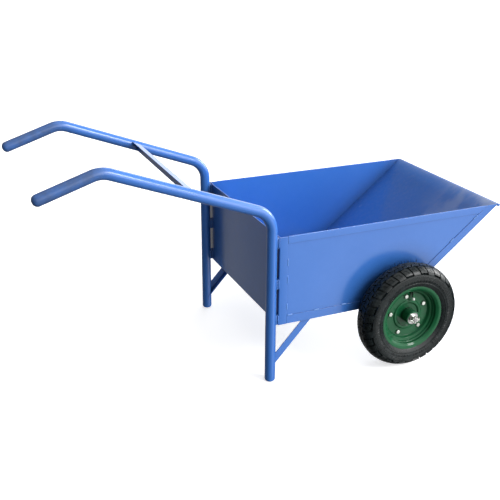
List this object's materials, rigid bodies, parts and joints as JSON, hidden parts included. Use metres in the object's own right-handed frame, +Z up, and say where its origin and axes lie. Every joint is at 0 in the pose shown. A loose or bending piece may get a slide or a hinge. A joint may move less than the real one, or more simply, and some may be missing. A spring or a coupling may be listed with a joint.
{
  "type": "two-wheeled tipping barrow",
  "caption": "Welded sheet-steel barrow with a sloping dump end, two bent tube handles that run down into legs, and pneumatic wheels on a fixed axle.",
  "frame": {"origin": "on the ground, halfway along the barrow's length, on its plane of symmetry", "axes": "+X towards the dump end, +Y to the left of a person pushing, +Z up"},
  "size_m": [1.6141, 0.8586, 0.8101],
  "materials": {
    "blue_paint": "gloss enamel over welded sheet steel and tube",
    "green_paint": "gloss enamel on the pressed rim halves and the hub",
    "tyre_rubber": "new moulded rubber",
    "tube_rubber": "smooth butyl",
    "zinc": "bright zinc plate",
    "axle_steel": "turned steel",
    "bearing_steel": "ground bearing steel",
    "cap_plastic": "pale moulded cap"
  },
  "bodies": {
    "barrow": {"rear_panel": "blue_paint", "floor_panel": "blue_paint", "dump_panel": "blue_paint", "dump_lip_rod": "blue_paint", "handle_crossbar": "blue_paint", "side_panel_left": "blue_paint", "side_panel_right": "blue_paint", "handle_tube_left": "blue_paint", "handle_tube_right": "blue_paint", "foot_cap_left": "blue_paint", "foot_cap_right": "blue_paint", "grip_cap_left": "blue_paint", "grip_cap_right": "blue_paint", "leg_spacers_left": "blue_paint", "leg_spacers_right": "blue_paint", "leg_brace_left": "blue_paint", "leg_brace_right": "blue_paint", "axle_saddle_left": "blue_paint", "axle_saddle_right": "blue_paint", "axle": "axle_steel", "axle_collar_left": "axle_steel", "axle_collar_right": "axle_steel", "axle_washer_left": "zinc", "axle_washer_right": "zinc", "axle_nut_left": "zinc", "axle_nut_right": "zinc", "cotter_pin_left": "zinc", "cotter_pin_right": "zinc"},
    "wheel_left": {"tyre_left": "tyre_rubber", "inner_tube_left": "tube_rubber", "valve_stem_left": "green_paint", "valve_cap_left": "cap_plastic", "rim_outer_left": "green_paint", "rim_inner_left": "green_paint", "rim_bolts_left": "zinc", "rim_nuts_left": "zinc", "hub_left": "green_paint", "bearings_left": "bearing_steel", "bearing_sleeve_left": "axle_steel"},
    "wheel_right": {"tyre_right": "tyre_rubber", "inner_tube_right": "tube_rubber", "valve_stem_right": "green_paint", "valve_cap_right": "cap_plastic", "rim_outer_right": "green_paint", "rim_inner_right": "green_paint", "rim_bolts_right": "zinc", "rim_nuts_right": "zinc", "hub_right": "green_paint", "bearings_right": "bearing_steel", "bearing_sleeve_right": "axle_steel"}
  },
  "joints": [
    {"name": "wheel_left_spin", "type": "hinge", "parent": "barrow", "child": "wheel_left", "pos_m": [0.40767, 0.3725, 0.188], "axis": [0, 1, 0], "continuous": true},
    {"name": "wheel_right_spin", "type": "hinge", "parent": "barrow", "child": "wheel_right", "pos_m": [0.40767, -0.3725, 0.188], "axis": [0, 1, 0], "continuous": true}
  ]
}
